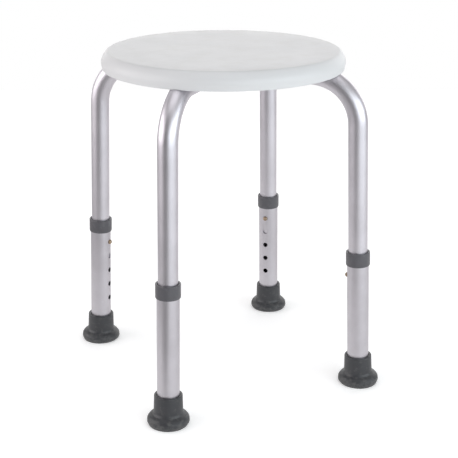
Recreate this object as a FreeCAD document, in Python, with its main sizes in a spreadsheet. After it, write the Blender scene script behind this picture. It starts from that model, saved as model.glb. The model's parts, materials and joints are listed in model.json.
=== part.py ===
"""Round shower stool: a moulded seat on two crossed bent tubes, with four telescopic legs.

Millimetres, +Z up, origin on the floor under the middle of the seat. The legs stand on the
diagonals of X and Y. Each leg leans out a little, so the pieces of a leg are drawn in a leg
frame: its origin is where the leg's axis meets the floor, its Z runs up the leg and its X
points away from the middle of the stool.
"""
import FreeCAD, Part
import math
import os
import Sketcher

DIAGONALS = {"front_left": -135, "front_right": -45, "rear_right": 45, "rear_left": 135}
MATCH = 1e-4

# alias, value, what it is
SIZES = [
    ("stool_height", 448, "floor to the top of the seat, legs at their longest"),
    ("seat_diameter", 320, "across the rim"),
    ("rim_depth", 23.4, "height of the rim"),
    ("rim_wall", 4.5, "thickness of the rim"),
    ("rim_taper", 1.4, "how much further in the rim is at its foot"),
    ("rim_belly", 7.5, "height of the widest ring above the rim's foot"),
    ("rim_round", 13, "rounding of the seat's upper edge"),
    ("rim_foot_round", 1.4, "rounding of the rim's lower edge"),
    ("plate_thickness", 4.5, "top plate of the seat"),
    ("rib_width", 2.6, "ribs under the plate"),
    ("rib_depth", 7.4, "ribs under the plate"),
    ("rib_count", 12, "spokes under the plate"),
    ("hub_ring", 30, "radius of the inner ring rib"),
    ("middle_ring", 66, "radius of the middle ring rib"),
    ("outer_ring", 118, "radius of the outer ring rib"),
    ("saddle_reach", 92, "middle of the seat to a fixing screw"),
    ("saddle_length", 24, "block that sits on the tube, along the tube"),
    ("saddle_width", 35, "block that sits on the tube, across it"),
    ("saddle_grip", 4, "how far above the tube's axis the block ends"),
    ("tube_gap", 0.25, "between the seat and the tubes"),
    ("tube_diameter", 25.4, "bent tube"),
    ("tube_wall", 1.3, "bent tube"),
    ("run_drop", 26, "top of the seat to the axis of the level run"),
    ("bend_radius", 62, "axis of the bend"),
    ("leg_lean", 2.3, "degrees that each leg leans out"),
    ("foot_reach", 198.9, "middle of the stool to a leg's axis on the floor"),
    ("flat_reach", 24, "half length of the flattened stretch where the tubes cross"),
    ("taper_reach", 55, "middle of the stool to where the tube is round again"),
    ("flat_width", 35.4, "flattened tube, across"),
    ("flat_height", 12.4, "flattened tube, upright"),
    ("cross_gap", 0.3, "between the two flattened tubes"),
    ("leg_diameter", 28.6, "lower leg tube"),
    ("leg_wall", 1.2, "lower leg tube"),
    ("leg_length", 177.3, "lower leg tube"),
    ("hole_diameter", 7.2, "setting holes and the button's hole in the bent tube"),
    ("hole_pitch", 22, "from one setting hole to the next"),
    ("hole_count", 5, "setting holes in each leg"),
    ("button_drop", 16, "collar's lower edge to the first setting hole"),
    ("button_diameter", 6.6, "snap button"),
    ("button_proud", 3.3, "how far the button stands out of the lower tube"),
    ("button_round", 1.7, "rounded end of the button"),
    ("neck_diameter", 3, "riveted neck of the button"),
    ("rivet_diameter", 5, "riveted head behind the spring"),
    ("rivet_depth", 0.8, "riveted head behind the spring"),
    ("neck_gap", 0.1, "around the neck in the spring's hole"),
    ("tube_tail", 29.6, "button's axis to the lower end of the bent tube"),
    ("spring_width", 8, "spring strip"),
    ("spring_thickness", 0.8, "spring strip"),
    ("spring_gap", 0.3, "spring strip to the bore of the bent tube"),
    ("spring_rise", 8, "end of the strip above the button's axis"),
    ("spring_drop", 14, "start of the strip's bend below the button's axis"),
    ("collar_diameter", 31.9, "collar on top of the lower tube"),
    ("collar_height", 18.7, "collar"),
    ("collar_lip", 3.5, "part of the collar above the lower tube"),
    ("collar_round", 0.9, "edges of the collar"),
    ("running_gap", 0.08, "collar's lip to the bent tube"),
    ("push_gap", 0.05, "collar and foot to the lower tube, which they grip"),
    ("foot_height", 40, "floor to the top of the foot's sleeve"),
    ("foot_pad", 8, "rubber under the washer"),
    ("sleeve_top_diameter", 36.6, "foot's sleeve at its top"),
    ("sleeve_base_diameter", 38, "foot's sleeve where the flange starts"),
    ("flare_top", 16.5, "height where the flange starts"),
    ("flare_middle", 11.2, "height of the flange's shoulder"),
    ("shoulder_diameter", 49, "flange's shoulder"),
    ("flange_diameter", 55, "flange at its widest"),
    ("flange_height", 4, "height of the widest ring"),
    ("base_diameter", 51, "foot on the floor"),
    ("tread_ring", 14, "radius of the groove under the foot"),
    ("tread_width", 3, "groove under the foot"),
    ("tread_depth", 1.4, "groove under the foot"),
    ("floor_trim", 1.4, "rubber that is cut off level with the floor"),
    ("sleeve_round", 1.2, "upper edge of the foot's sleeve"),
    ("shoulder_round", 6, "flange's shoulder"),
    ("flange_round", 2, "flange's edge"),
    ("washer_thickness", 1.5, "steel washer in the foot"),
    ("washer_gap", 0.4, "around the washer in the foot's bore"),
    ("washer_hole", 8, "hole in the foot's washer"),
    ("screw_diameter", 6, "fixing screws and the crossing bolt"),
    ("screw_gap", 0.3, "around a screw in a tube"),
    ("thread_gap", 0.05, "between a screw and its nut or insert"),
    ("head_diameter", 12, "screw and bolt heads"),
    ("head_depth", 4, "screw and bolt heads"),
    ("head_round", 1.8, "rounded edge of a head"),
    ("socket_width", 4, "hexagon socket, across flats"),
    ("socket_depth", 2.4, "hexagon socket"),
    ("saddle_washer_diameter", 14, "curved washer inside a tube, under its upper wall"),
    ("saddle_washer_edge", 0.8, "curved washer where it is thinnest"),
    ("bearing_gap", 0.02, "curved washer to the tube's bore"),
    ("access_diameter", 13.6, "hole in the tube's lower wall for a screw's head"),
    ("insert_diameter", 9, "brass insert in the seat"),
    ("insert_length", 8, "brass insert in the seat"),
    ("insert_gap", 0.05, "around the insert"),
    ("screw_tip", 0.8, "end of the screw below the top of the insert"),
    ("bolt_washer_diameter", 14, "plain washers at the crossing"),
    ("bolt_washer_thickness", 1.2, "plain washers at the crossing"),
    ("nut_width", 10, "nut at the crossing, across flats"),
    ("nut_depth", 5, "nut at the crossing"),
    ("bolt_tip", 0.7, "bolt's end above the nut"),
    ("tip_chamfer", 0.6, "end of a screw or bolt"),
    ("overcut", 2, "how far a cutter runs past what it cuts"),
    ("ellipse_bias", 0.0001, "keeps the level axis of a section the longer one"),
    # worked out from the sizes above
    ("seat_radius", "=seat_diameter / 2", ""),
    ("rim_foot", "=stool_height - rim_depth", "height of the rim's lower edge"),
    ("plate_under", "=stool_height - plate_thickness", "height of the plate's underside"),
    ("tube_radius", "=tube_diameter / 2", ""),
    ("bore_radius", "=tube_radius - tube_wall", ""),
    ("run_height", "=stool_height - run_drop", "height of the level run's axis"),
    ("bend_height", "=run_height - bend_radius", "height of the bend's centre"),
    ("bend_foot", "=(bend_height + bend_radius * sin(leg_lean)) / cos(leg_lean)", "up the leg"),
    ("bend_reach", "=foot_reach - bend_foot * sin(leg_lean) - bend_radius * cos(leg_lean)", ""),
    ("leg_radius", "=leg_diameter / 2", ""),
    ("leg_bottom", "=foot_pad + washer_thickness", "up the leg"),
    ("leg_top", "=leg_bottom + leg_length", "up the leg"),
    ("collar_top", "=leg_top + collar_lip", "up the leg"),
    ("collar_bottom", "=collar_top - collar_height", "up the leg"),
    ("button_height", "=collar_bottom - button_drop", "up the leg"),
    ("tube_end", "=button_height - tube_tail", "up the leg"),
    ("spring_reach", "=sqrt(bore_radius ^ 2 - (spring_width / 2) ^ 2) - spring_gap", ""),
    ("saddle_washer_chord", "=sqrt(bore_radius ^ 2 - (saddle_washer_diameter / 2) ^ 2)", ""),
    ("saddle_washer_foot", "=run_height + saddle_washer_chord - saddle_washer_edge", "flat side"),
]

doc = FreeCAD.newDocument("shower_stool")
sheet = doc.addObject("Spreadsheet::Sheet", "Sizes")
for row, (alias, value, note) in enumerate(SIZES, start=1):
    sheet.set(f"A{row}", alias)
    sheet.set(f"B{row}", str(value))
    sheet.set(f"C{row}", note)
    sheet.setAlias(f"B{row}", alias)
doc.recompute()


def with_sheet(formula):
    """A formula on the sheet's aliases, as an expression that other objects can use."""
    out = str(formula)
    for alias in sorted((name for name, _, _ in SIZES), key=len, reverse=True):
        out = "Sizes.".join(split_at_word(out, alias))
    return out


def split_at_word(text, word):
    """The text cut before each whole word that isn't already prefixed."""
    pieces = []
    start = 0
    at = text.find(word)
    while at >= 0:
        end = at + len(word)
        before = text[at - 1] if at else " "
        after = text[end] if end < len(text) else " "
        whole = not (before.isalnum() or before in "_.") and not (after.isalnum() or after == "_")
        if whole:
            pieces.append(text[start:at])
            start = at
        at = text.find(word, end)
    pieces.append(text[start:])
    return pieces


def size(formula):
    """The number that a formula on the sheet's aliases gives now."""
    value = sheet.evalExpression(with_sheet(formula))
    return float(value.Value if hasattr(value, "Value") else value)


def bind(obj, **formulas):
    """Bind properties of an object to formulas on the sheet."""
    for name, formula in formulas.items():
        obj.setExpression(name, with_sheet(formula))
    return obj


def place(obj, yaw, reach=0, height=0, side=0, pitch=0, roll=0):
    """Bind an object's Placement: reach out along yaw, side to its left, then turned."""
    across = f"({reach}) * cos({yaw}) - ({side}) * sin({yaw})"
    along = f"({reach}) * sin({yaw}) + ({side}) * cos({yaw})"
    formula = (
        f"create(<<placement>>; create(<<vector>>; {across}; {along}; {height}); "
        f"create(<<rotation>>; {yaw}; {pitch}; {roll}))"
    )
    obj.setExpression("Placement", with_sheet(formula))
    return obj


def place_on_leg(obj, yaw, along=0, roll=0):
    """Place an object on a leg's axis, a distance up from the floor and leaning with it."""
    reach = f"foot_reach - ({along}) * sin(leg_lean)"
    return place(obj, yaw, reach, f"({along}) * cos(leg_lean)", pitch="-leg_lean", roll=roll)


def body_named(name):
    body = doc.addObject("PartDesign::Body", name)
    body.Label = name
    return body


def sketch_in(body, name, role, height=0, turn=0):
    """A sketch on one of the body's own planes, lifted along the plane's normal."""
    plane = next(f for f in body.Origin.OriginFeatures if f.Role == role)
    sketch = body.newObject("Sketcher::SketchObject", name)
    sketch.AttachmentSupport = [(plane, "")]
    sketch.MapMode = "FlatFace"
    sketch.AttachmentOffset = FreeCAD.Placement(
        FreeCAD.Vector(0, 0, size(height)), FreeCAD.Rotation(FreeCAD.Vector(0, 0, 1), turn)
    )
    sketch.setExpression("AttachmentOffset.Base.z", with_sheet(height))
    return sketch


def fix_point(sketch, piece, end, across, up):
    """Tie one point of a sketch to formulas for its two coordinates."""
    for kind, axis, formula in (("DistanceX", -2, across), ("DistanceY", -1, up)):
        value = size(formula)
        if value == 0:
            sketch.addConstraint(Sketcher.Constraint("PointOnObject", piece, end, axis))
            continue
        rule = sketch.addConstraint(Sketcher.Constraint(kind, -1, 1, piece, end, value))
        sketch.setExpression(f"Constraints[{rule}]", with_sheet(formula))


def draw_outline(sketch, corners):
    """A closed outline of straight lines through corners given as pairs of formulas."""
    points = [FreeCAD.Vector(size(across), size(up), 0) for across, up in corners]
    first = sketch.GeometryCount
    count = len(points)
    for number in range(count):
        line = Part.LineSegment(points[number], points[(number + 1) % count])
        sketch.addGeometry(line, False)
    for number in range(count):
        here = first + number
        after = first + (number + 1) % count
        sketch.addConstraint(Sketcher.Constraint("Coincident", here, 2, after, 1))
    for number, (across, up) in enumerate(corners):
        fix_point(sketch, first + number, 1, across, up)


def draw_circle(sketch, diameter, across=0, up=0):
    centre = FreeCAD.Vector(size(across), size(up), 0)
    circle = Part.Circle(centre, FreeCAD.Vector(0, 0, 1), size(diameter) / 2)
    number = sketch.addGeometry(circle, False)
    fix_point(sketch, number, 3, across, up)
    rule = sketch.addConstraint(Sketcher.Constraint("Diameter", number, size(diameter)))
    sketch.setExpression(f"Constraints[{rule}]", with_sheet(diameter))


def add_pad(body, name, sketch, length, both_ways=False):
    pad = body.newObject("PartDesign::Pad", name)
    pad.Profile = sketch
    if both_ways:
        pad.SideType = "Symmetric"
    return bind(pad, Length=length)


def add_pocket(body, name, sketch, length):
    """Cut downwards from the sketch, and stop if the cut takes nothing away."""
    doc.recompute()
    before = body.Shape.Volume
    pocket = body.newObject("PartDesign::Pocket", name)
    pocket.Profile = sketch
    bind(pocket, Length=length)
    doc.recompute()
    assert body.Shape.Volume < before, f"{name} cuts nothing"
    return pocket


def add_polar(body, name, feature, sketch, count):
    """Repeat a feature evenly about the sketch's normal."""
    doc.recompute()
    pattern = body.newObject("PartDesign::PolarPattern", name)
    pattern.Originals = [feature]
    pattern.Axis = (sketch, ["N_Axis"])
    pattern.Angle = 360
    bind(pattern, Occurrences=count)
    body.Tip = pattern
    return pattern


def turn_outline(body, name, outlines, axis="V_Axis"):
    """Revolve outlines, drawn on the XZ plane, about one of the sketch's axes."""
    sketch = sketch_in(body, f"{name}_outline", "XZ_Plane")
    for corners in outlines:
        draw_outline(sketch, corners)
    turned = body.newObject("PartDesign::Revolution", name)
    turned.Profile = sketch
    turned.ReferenceAxis = (sketch, [axis])
    turned.Angle = 360
    return turned


def round_ring(body, name, radius, height, rounding, along="z"):
    """Fillet the ring edge of a given radius at a given place along the body's axis."""
    doc.recompute()
    base = body.Tip
    want_radius, want_height = size(radius), size(height)
    rings = []
    for number, edge in enumerate(base.Shape.Edges, start=1):
        if not isinstance(edge.Curve, Part.Circle):
            continue
        off_radius = abs(edge.Curve.Radius - want_radius)
        off_height = abs(getattr(edge.Curve.Center, along) - want_height)
        if max(off_radius, off_height) < MATCH:
            rings.append(f"Edge{number}")
    assert rings, f"{body.Label}: no ring for {name}"
    fillet = body.newObject("PartDesign::Fillet", name)
    fillet.Base = (base, rings)
    bind(fillet, Radius=rounding)
    return fillet


def cut_cylinder(body, name, radius, length, spot, pitch=0, yaw=0):
    """Cut a cylinder out of a body. It starts at a spot (x, y, z) given as formulas."""
    hole = body.newObject("PartDesign::SubtractiveCylinder", name)
    bind(hole, Radius=radius, Height=length)
    across, side, up = spot
    formula = (
        f"create(<<placement>>; create(<<vector>>; {across}; {side}; {up}); "
        f"create(<<rotation>>; {yaw}; {pitch}; 0))"
    )
    hole.setExpression("Placement", with_sheet(formula))
    return hole


def solid_cylinder(name, radius, length):
    return bind(doc.addObject("Part::Cylinder", name), Radius=radius, Height=length)


def fuse(name, shapes):
    joined = doc.addObject("Part::MultiFuse", name)
    joined.Shapes = shapes
    return joined


def common(name, shapes):
    """What all the shapes share."""
    shared = doc.addObject("Part::MultiCommon", name)
    shared.Shapes = shapes
    return shared


def cut(name, base, tool):
    cut_shape = doc.addObject("Part::Cut", name)
    cut_shape.Base = base
    cut_shape.Tool = tool
    return cut_shape


def group(name, pieces):
    """Alike pieces that share a node and stay separate solids."""
    together = doc.addObject("Part::Compound", name)
    together.Links = pieces
    return together


# ---- the seat: a moulded plate with a rounded rim, ribs and saddles for the tubes ----
def make_seat():
    body = body_named("seat")
    rim_inside = "seat_radius - rim_taper - rim_wall"
    shell = [
        (0, "stool_height"),
        ("seat_radius", "stool_height"),
        ("seat_radius", "rim_foot + rim_belly"),
        ("seat_radius - rim_taper", "rim_foot"),
        (rim_inside, "rim_foot"),
        (rim_inside, "plate_under - rim_wall"),
        (f"{rim_inside} - rim_wall", "plate_under"),
        (0, "plate_under"),
    ]
    turn_outline(body, "shell", [shell])
    round_ring(body, "upper_edge", "seat_radius", "stool_height", "rim_round")
    round_ring(body, "lower_edge", "seat_radius - rim_taper", "rim_foot", "rim_foot_round")
    embed = "plate_under + plate_thickness / 4"
    rings = []
    for radius in ("hub_ring", "middle_ring", "outer_ring"):
        inner = f"{radius} - rib_width / 2"
        outer = f"{radius} + rib_width / 2"
        under = "plate_under - rib_depth"
        rings.append([(inner, under), (outer, under), (outer, embed), (inner, embed)])
    turn_outline(body, "ring_ribs", rings)
    spoke_sketch = sketch_in(body, "spoke_outline", "XY_Plane", "plate_under - rib_depth")
    spoke = [
        ("hub_ring", "-rib_width / 2"),
        (f"{rim_inside} + rim_wall / 3", "-rib_width / 2"),
        (f"{rim_inside} + rim_wall / 3", "rib_width / 2"),
        ("hub_ring", "rib_width / 2"),
    ]
    draw_outline(spoke_sketch, spoke)
    first_spoke = add_pad(body, "spoke", spoke_sketch, "rib_depth + plate_thickness / 4")
    add_polar(body, "spokes", first_spoke, spoke_sketch, "rib_count")
    saddle_foot = "run_height + saddle_grip"
    saddle_sketch = sketch_in(body, "saddle_outline", "XY_Plane", saddle_foot, 45)
    near = "saddle_reach - saddle_length / 2"
    far = "saddle_reach + saddle_length / 2"
    side = "saddle_width / 2"
    corners = [(near, f"-{side}"), (far, f"-{side}"), (far, side), (near, side)]
    draw_outline(saddle_sketch, corners)
    saddle = add_pad(body, "saddle", saddle_sketch, f"{embed} - ({saddle_foot})")
    add_polar(body, "saddles", saddle, saddle_sketch, 4)
    insert_sketch = sketch_in(body, "insert_bore_outline", "XY_Plane", "plate_under", 45)
    draw_circle(insert_sketch, "insert_diameter + 2 * insert_gap", "saddle_reach", 0)
    bore = add_pocket(body, "insert_bore", insert_sketch, "plate_under - run_height")
    add_polar(body, "insert_bores", bore, insert_sketch, 4)
    doc.recompute()
    channel = "tube_radius + tube_gap"
    for number, yaw in enumerate(DIAGONALS.values()):
        start = f"(taper_reach) * cos({yaw})", f"(taper_reach) * sin({yaw})", "run_height"
        name = f"channel_{number}"
        cut_cylinder(body, name, channel, "bend_reach - taper_reach", start, 90, yaw)
        bend = body.newObject("PartDesign::SubtractiveTorus", f"rim_notch_{number}")
        bind(bend, Radius1="bend_radius", Radius2=channel, Angle3="90 - leg_lean")
        turned = (
            f"create(<<placement>>; create(<<vector>>; bend_reach * cos({yaw}); "
            f"bend_reach * sin({yaw}); bend_height); create(<<rotation>>; {yaw}; -leg_lean; 90))"
        )
        bend.setExpression("Placement", with_sheet(turned))
    return body


# ---- the frame: two bent tubes, each flattened where they cross ----
def tube_core(name, yaw, radius, shrink, side, tail):
    """The solid inside one skin of a bent tube: its outside, or its bore.

    side is -1 for the tube that passes under the other and 1 for the one above, shrink is
    the wall that the flattened stretch loses, and tail lengthens the open ends.
    """
    pieces = []
    sections = []
    flat_axis = f"run_height + ({side}) * (flat_height + cross_gap) / 2"
    stations = [
        ("taper_reach", "run_height", radius, radius),
        ("flat_reach", flat_axis, f"flat_width / 2 - {shrink}", f"flat_height / 2 - {shrink}"),
        ("-flat_reach", flat_axis, f"flat_width / 2 - {shrink}", f"flat_height / 2 - {shrink}"),
        ("-taper_reach", "run_height", radius, radius),
    ]
    for number, (reach, height, wide, tall) in enumerate(stations):
        section = doc.addObject("Part::Ellipse", f"{name}_section_{number}")
        bind(section, MajorRadius=f"{wide} + ellipse_bias", MinorRadius=tall)
        # the ring stands upright across the tube, with its long axis level
        spot = f"({reach}) * cos({yaw}); ({reach}) * sin({yaw}); {height}"
        formula = (
            f"create(<<placement>>; create(<<vector>>; {spot}); "
            f"create(<<rotation>>; {yaw} + 90; 0; 90))"
        )
        section.setExpression("Placement", with_sheet(formula))
        sections.append(section)
    crossing = doc.addObject("Part::Loft", f"{name}_crossing")
    crossing.Sections = sections
    crossing.Solid = True
    crossing.Ruled = True
    pieces.append(crossing)
    for end, turn in (("near", yaw), ("far", yaw + 180)):
        run = solid_cylinder(f"{name}_run_{end}", radius, "bend_reach - taper_reach")
        pieces.append(place(run, turn, "taper_reach", "run_height", pitch=90))
        bend = doc.addObject("Part::Torus", f"{name}_bend_{end}")
        bind(bend, Radius1="bend_radius", Radius2=radius, Angle3="90 - leg_lean")
        place(bend, turn, "bend_reach", "bend_height", pitch="-leg_lean", roll=90)
        pieces.append(bend)
        start = f"tube_end - {tail}"
        leg = solid_cylinder(f"{name}_leg_{end}", radius, f"bend_foot - ({start})")
        pieces.append(place_on_leg(leg, turn, start))
    return fuse(name, pieces)


def make_bent_tube(name, yaw, side):
    outside = tube_core(f"{name}_outside", yaw, "tube_radius", "0", side, "0")
    inside = tube_core(f"{name}_inside", yaw, "bore_radius", "tube_wall", side, "tube_wall")
    below = "run_height - tube_radius - overcut"
    holes = []
    for number, reach in enumerate(("-saddle_reach", "0", "saddle_reach")):
        radius, length = "screw_diameter / 2 + screw_gap", "tube_diameter + 2 * overcut"
        hole = solid_cylinder(f"{name}_screw_hole_{number}", radius, length)
        holes.append(place(hole, yaw, reach, below))
    for number, reach in enumerate(("-saddle_reach", "saddle_reach")):
        # a seat screw goes in through a wider hole in the lower wall
        radius, length = "access_diameter / 2", "tube_radius + overcut"
        hole = solid_cylinder(f"{name}_access_hole_{number}", radius, length)
        holes.append(place(hole, yaw, reach, below))
    for end, turn in (("near", yaw), ("far", yaw + 180)):
        # a snap button's hole looks at the middle of the stool
        hole = solid_cylinder(f"{name}_button_hole_{end}", "hole_diameter / 2", "tube_diameter")
        reach = "foot_reach - button_height * sin(leg_lean) - tube_diameter * cos(leg_lean)"
        height = "button_height * cos(leg_lean) - tube_diameter * sin(leg_lean)"
        holes.append(place(hole, turn, reach, height, pitch="90 - leg_lean"))
    return cut(name, outside, fuse(f"{name}_cuts", [inside] + holes))


# ---- what holds the seat and the two tubes together ----
def make_headed(name, shank):
    """A screw: rounded head with a hexagon socket below height 0, and its shank above."""
    body = body_named(name)
    half = "screw_diameter / 2"
    outline = [
        (0, "-head_depth"),
        ("head_diameter / 2", "-head_depth"),
        ("head_diameter / 2", 0),
        (half, 0),
        (half, f"{shank} - tip_chamfer"),
        (f"{half} - tip_chamfer", shank),
        (0, shank),
    ]
    turn_outline(body, "screw", [outline])
    round_ring(body, "head_edge", "head_diameter / 2", "-head_depth", "head_round")
    doc.recompute()
    before = body.Shape.Volume
    socket = body.newObject("PartDesign::SubtractivePrism", "socket")
    socket.Polygon = 6
    bind(socket, Circumradius="socket_width / sqrt(3)", Height="socket_depth")
    socket.setExpression("Placement.Base.z", with_sheet("-head_depth"))
    doc.recompute()
    assert body.Shape.Volume < before, f"{name}: the socket cuts nothing"
    return body


def make_seat_fixings():
    """Screws whose heads sit inside the tubes, under their upper walls."""
    screws, washers, inserts = [], [], []
    shank = "plate_under - screw_tip - saddle_washer_foot"
    for corner, yaw in DIAGONALS.items():
        screw = make_headed(f"seat_screw_{corner}", shank)
        screws.append(place(screw, yaw, "saddle_reach", "saddle_washer_foot"))
        blank = body_named(f"washer_blank_{corner}")
        hole = "screw_diameter / 2 + screw_gap"
        edge = "saddle_washer_diameter / 2"
        outline = [(hole, 0), (edge, 0), (edge, "bore_radius"), (hole, "bore_radius")]
        turn_outline(blank, "disc", [outline])
        place(blank, yaw, "saddle_reach", "saddle_washer_foot")
        # the tube's round bore shapes the washer's upper face
        radius, length = "bore_radius - bearing_gap", "2 * saddle_length"
        core = solid_cylinder(f"washer_core_{corner}", radius, length)
        place(core, yaw, "saddle_reach - saddle_length", "run_height", pitch=90)
        washers.append(common(f"seat_washer_{corner}", [blank, core]))
        insert = body_named(f"seat_insert_{corner}")
        bore = "screw_diameter / 2 + thread_gap"
        half = "insert_diameter / 2"
        outline = [(bore, "-insert_length"), (half, "-insert_length"), (half, 0), (bore, 0)]
        turn_outline(insert, "sleeve", [outline])
        inserts.append(place(insert, yaw, "saddle_reach", "plate_under"))
    return [
        group("seat_screws", screws),
        group("seat_washers", washers),
        group("seat_inserts", inserts),
    ]


def make_crossing_fixings():
    top = "run_height + cross_gap / 2 + flat_height"
    foot = "run_height - cross_gap / 2 - flat_height"
    shank = "2 * (flat_height + bolt_washer_thickness) + cross_gap + nut_depth + bolt_tip"
    bolt = make_headed("crossing_bolt", shank)
    place(bolt, 0, 0, f"{foot} - bolt_washer_thickness")
    washers = []
    hole = "screw_diameter / 2 + screw_gap"
    edge = "bolt_washer_diameter / 2"
    thick = "bolt_washer_thickness"
    for name, height in (("lower", f"{foot} - bolt_washer_thickness"), ("upper", top)):
        washer = body_named(f"crossing_washer_{name}")
        turn_outline(washer, "disc", [[(hole, 0), (edge, 0), (edge, thick), (hole, thick)]])
        washers.append(place(washer, 0, 0, height))
    prism = bind(doc.addObject("Part::Prism", "nut_blank"), Height="nut_depth")
    prism.Polygon = 6
    bind(prism, Circumradius="nut_width / sqrt(3)")
    place(prism, 0, 0, f"{top} + bolt_washer_thickness")
    radius, length = "screw_diameter / 2 + thread_gap", "nut_depth + 2 * overcut"
    thread = solid_cylinder("nut_thread", radius, length)
    place(thread, 0, 0, f"{top} + bolt_washer_thickness - overcut")
    nut = cut("crossing_nut", prism, thread)
    return [bolt, group("crossing_washers", washers), nut]


# ---- one leg: lower tube, collar, foot and its washer, snap button and its spring ----
def make_leg_tube(corner, yaw):
    body = body_named(f"leg_tube_{corner}")
    ring = sketch_in(body, "ring", "XY_Plane", "leg_bottom")
    draw_circle(ring, "leg_diameter")
    draw_circle(ring, "leg_diameter - 2 * leg_wall")
    add_pad(body, "tube", ring, "leg_length")
    doc.recompute()
    before = body.Shape.Volume
    start = "-leg_diameter", "0", "button_height"
    hole = cut_cylinder(body, "top_hole", "hole_diameter / 2", "leg_diameter", start, 90)
    doc.recompute()
    pattern = body.newObject("PartDesign::LinearPattern", "setting_holes")
    pattern.Originals = [hole]
    up = next(f for f in body.Origin.OriginFeatures if f.Role == "Z_Axis")
    pattern.Direction = (up, [""])
    pattern.Reversed = True
    bind(pattern, Length="hole_pitch * (hole_count - 1)", Occurrences="hole_count")
    body.Tip = pattern
    doc.recompute()
    assert body.Shape.Volume < before, "the setting holes cut nothing"
    return place_on_leg(body, yaw)


def make_collar(corner, yaw):
    body = body_named(f"leg_collar_{corner}")
    grip = "leg_radius + push_gap"
    lip = "tube_radius + running_gap"
    edge = "collar_diameter / 2"
    outline = [
        (grip, "collar_bottom"),
        (edge, "collar_bottom"),
        (edge, "collar_top"),
        (lip, "collar_top"),
        (lip, "leg_top"),
        (grip, "leg_top"),
    ]
    turn_outline(body, "collar", [outline])
    round_ring(body, "top_edge", edge, "collar_top", "collar_round")
    round_ring(body, "bottom_edge", edge, "collar_bottom", "collar_round / 2")
    return place_on_leg(body, yaw)


def make_foot(corner, yaw):
    body = body_named(f"foot_blank_{corner}")
    bore = "leg_radius + push_gap"
    outline = [
        (0, "-floor_trim"),
        ("base_diameter / 2", "-floor_trim"),
        ("flange_diameter / 2", "flange_height"),
        ("shoulder_diameter / 2", "flare_middle"),
        ("sleeve_base_diameter / 2", "flare_top"),
        ("sleeve_top_diameter / 2", "foot_height"),
        (bore, "foot_height"),
        (bore, "foot_pad"),
        (0, "foot_pad"),
    ]
    turn_outline(body, "foot", [outline])
    round_ring(body, "sleeve_edge", "sleeve_top_diameter / 2", "foot_height", "sleeve_round")
    round_ring(body, "waist", "sleeve_base_diameter / 2", "flare_top", "flange_round")
    round_ring(body, "shoulder", "shoulder_diameter / 2", "flare_middle", "shoulder_round")
    round_ring(body, "flange_edge", "flange_diameter / 2", "flange_height", "flange_round")
    doc.recompute()
    tread = sketch_in(body, "tread_outline", "XZ_Plane")
    inner, outer = "tread_ring - tread_width / 2", "tread_ring + tread_width / 2"
    low, high = "-floor_trim - overcut", "tread_depth"
    draw_outline(tread, [(inner, low), (outer, low), (outer, high), (inner, high)])
    before = body.Shape.Volume
    groove = body.newObject("PartDesign::Groove", "tread")
    groove.Profile = tread
    groove.ReferenceAxis = (tread, ["V_Axis"])
    groove.Angle = 360
    doc.recompute()
    assert body.Shape.Volume < before, "the tread groove cuts nothing"
    place_on_leg(body, yaw)
    floor = doc.addObject("Part::Box", f"floor_{corner}")
    bind(floor, Length="2 * flange_diameter", Width="2 * flange_diameter", Height="foot_height")
    place(floor, yaw, "foot_reach - flange_diameter", "-foot_height", side="-flange_diameter")
    return cut(f"foot_{corner}", body, floor)


def make_foot_washer(corner, yaw):
    body = body_named(f"foot_washer_{corner}")
    edge = "leg_radius - washer_gap"
    outline = [
        ("washer_hole / 2", "foot_pad"),
        (edge, "foot_pad"),
        (edge, "leg_bottom"),
        ("washer_hole / 2", "leg_bottom"),
    ]
    turn_outline(body, "washer", [outline])
    return place_on_leg(body, yaw)


def make_snap_button(corner, yaw):
    """Drawn about the button's axis. It looks at the middle of the stool, along -X."""
    body = body_named(f"snap_button_{corner}")
    pin = "button_diameter / 2"
    neck = "neck_diameter / 2"
    tip = "-leg_radius - button_proud"
    strip_front = "-spring_reach"
    strip_back = "-spring_reach + spring_thickness"
    head_back = f"{strip_back} + rivet_depth"
    outline = [
        (tip, 0),
        (head_back, 0),
        (head_back, "rivet_diameter / 2"),
        (strip_back, "rivet_diameter / 2"),
        (strip_back, neck),
        (strip_front, neck),
        (strip_front, pin),
        (tip, pin),
    ]
    turn_outline(body, "button", [outline], axis="H_Axis")
    round_ring(body, "tip_edge", pin, tip, "button_round", along="x")
    return place_on_leg(body, yaw, "button_height")


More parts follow.
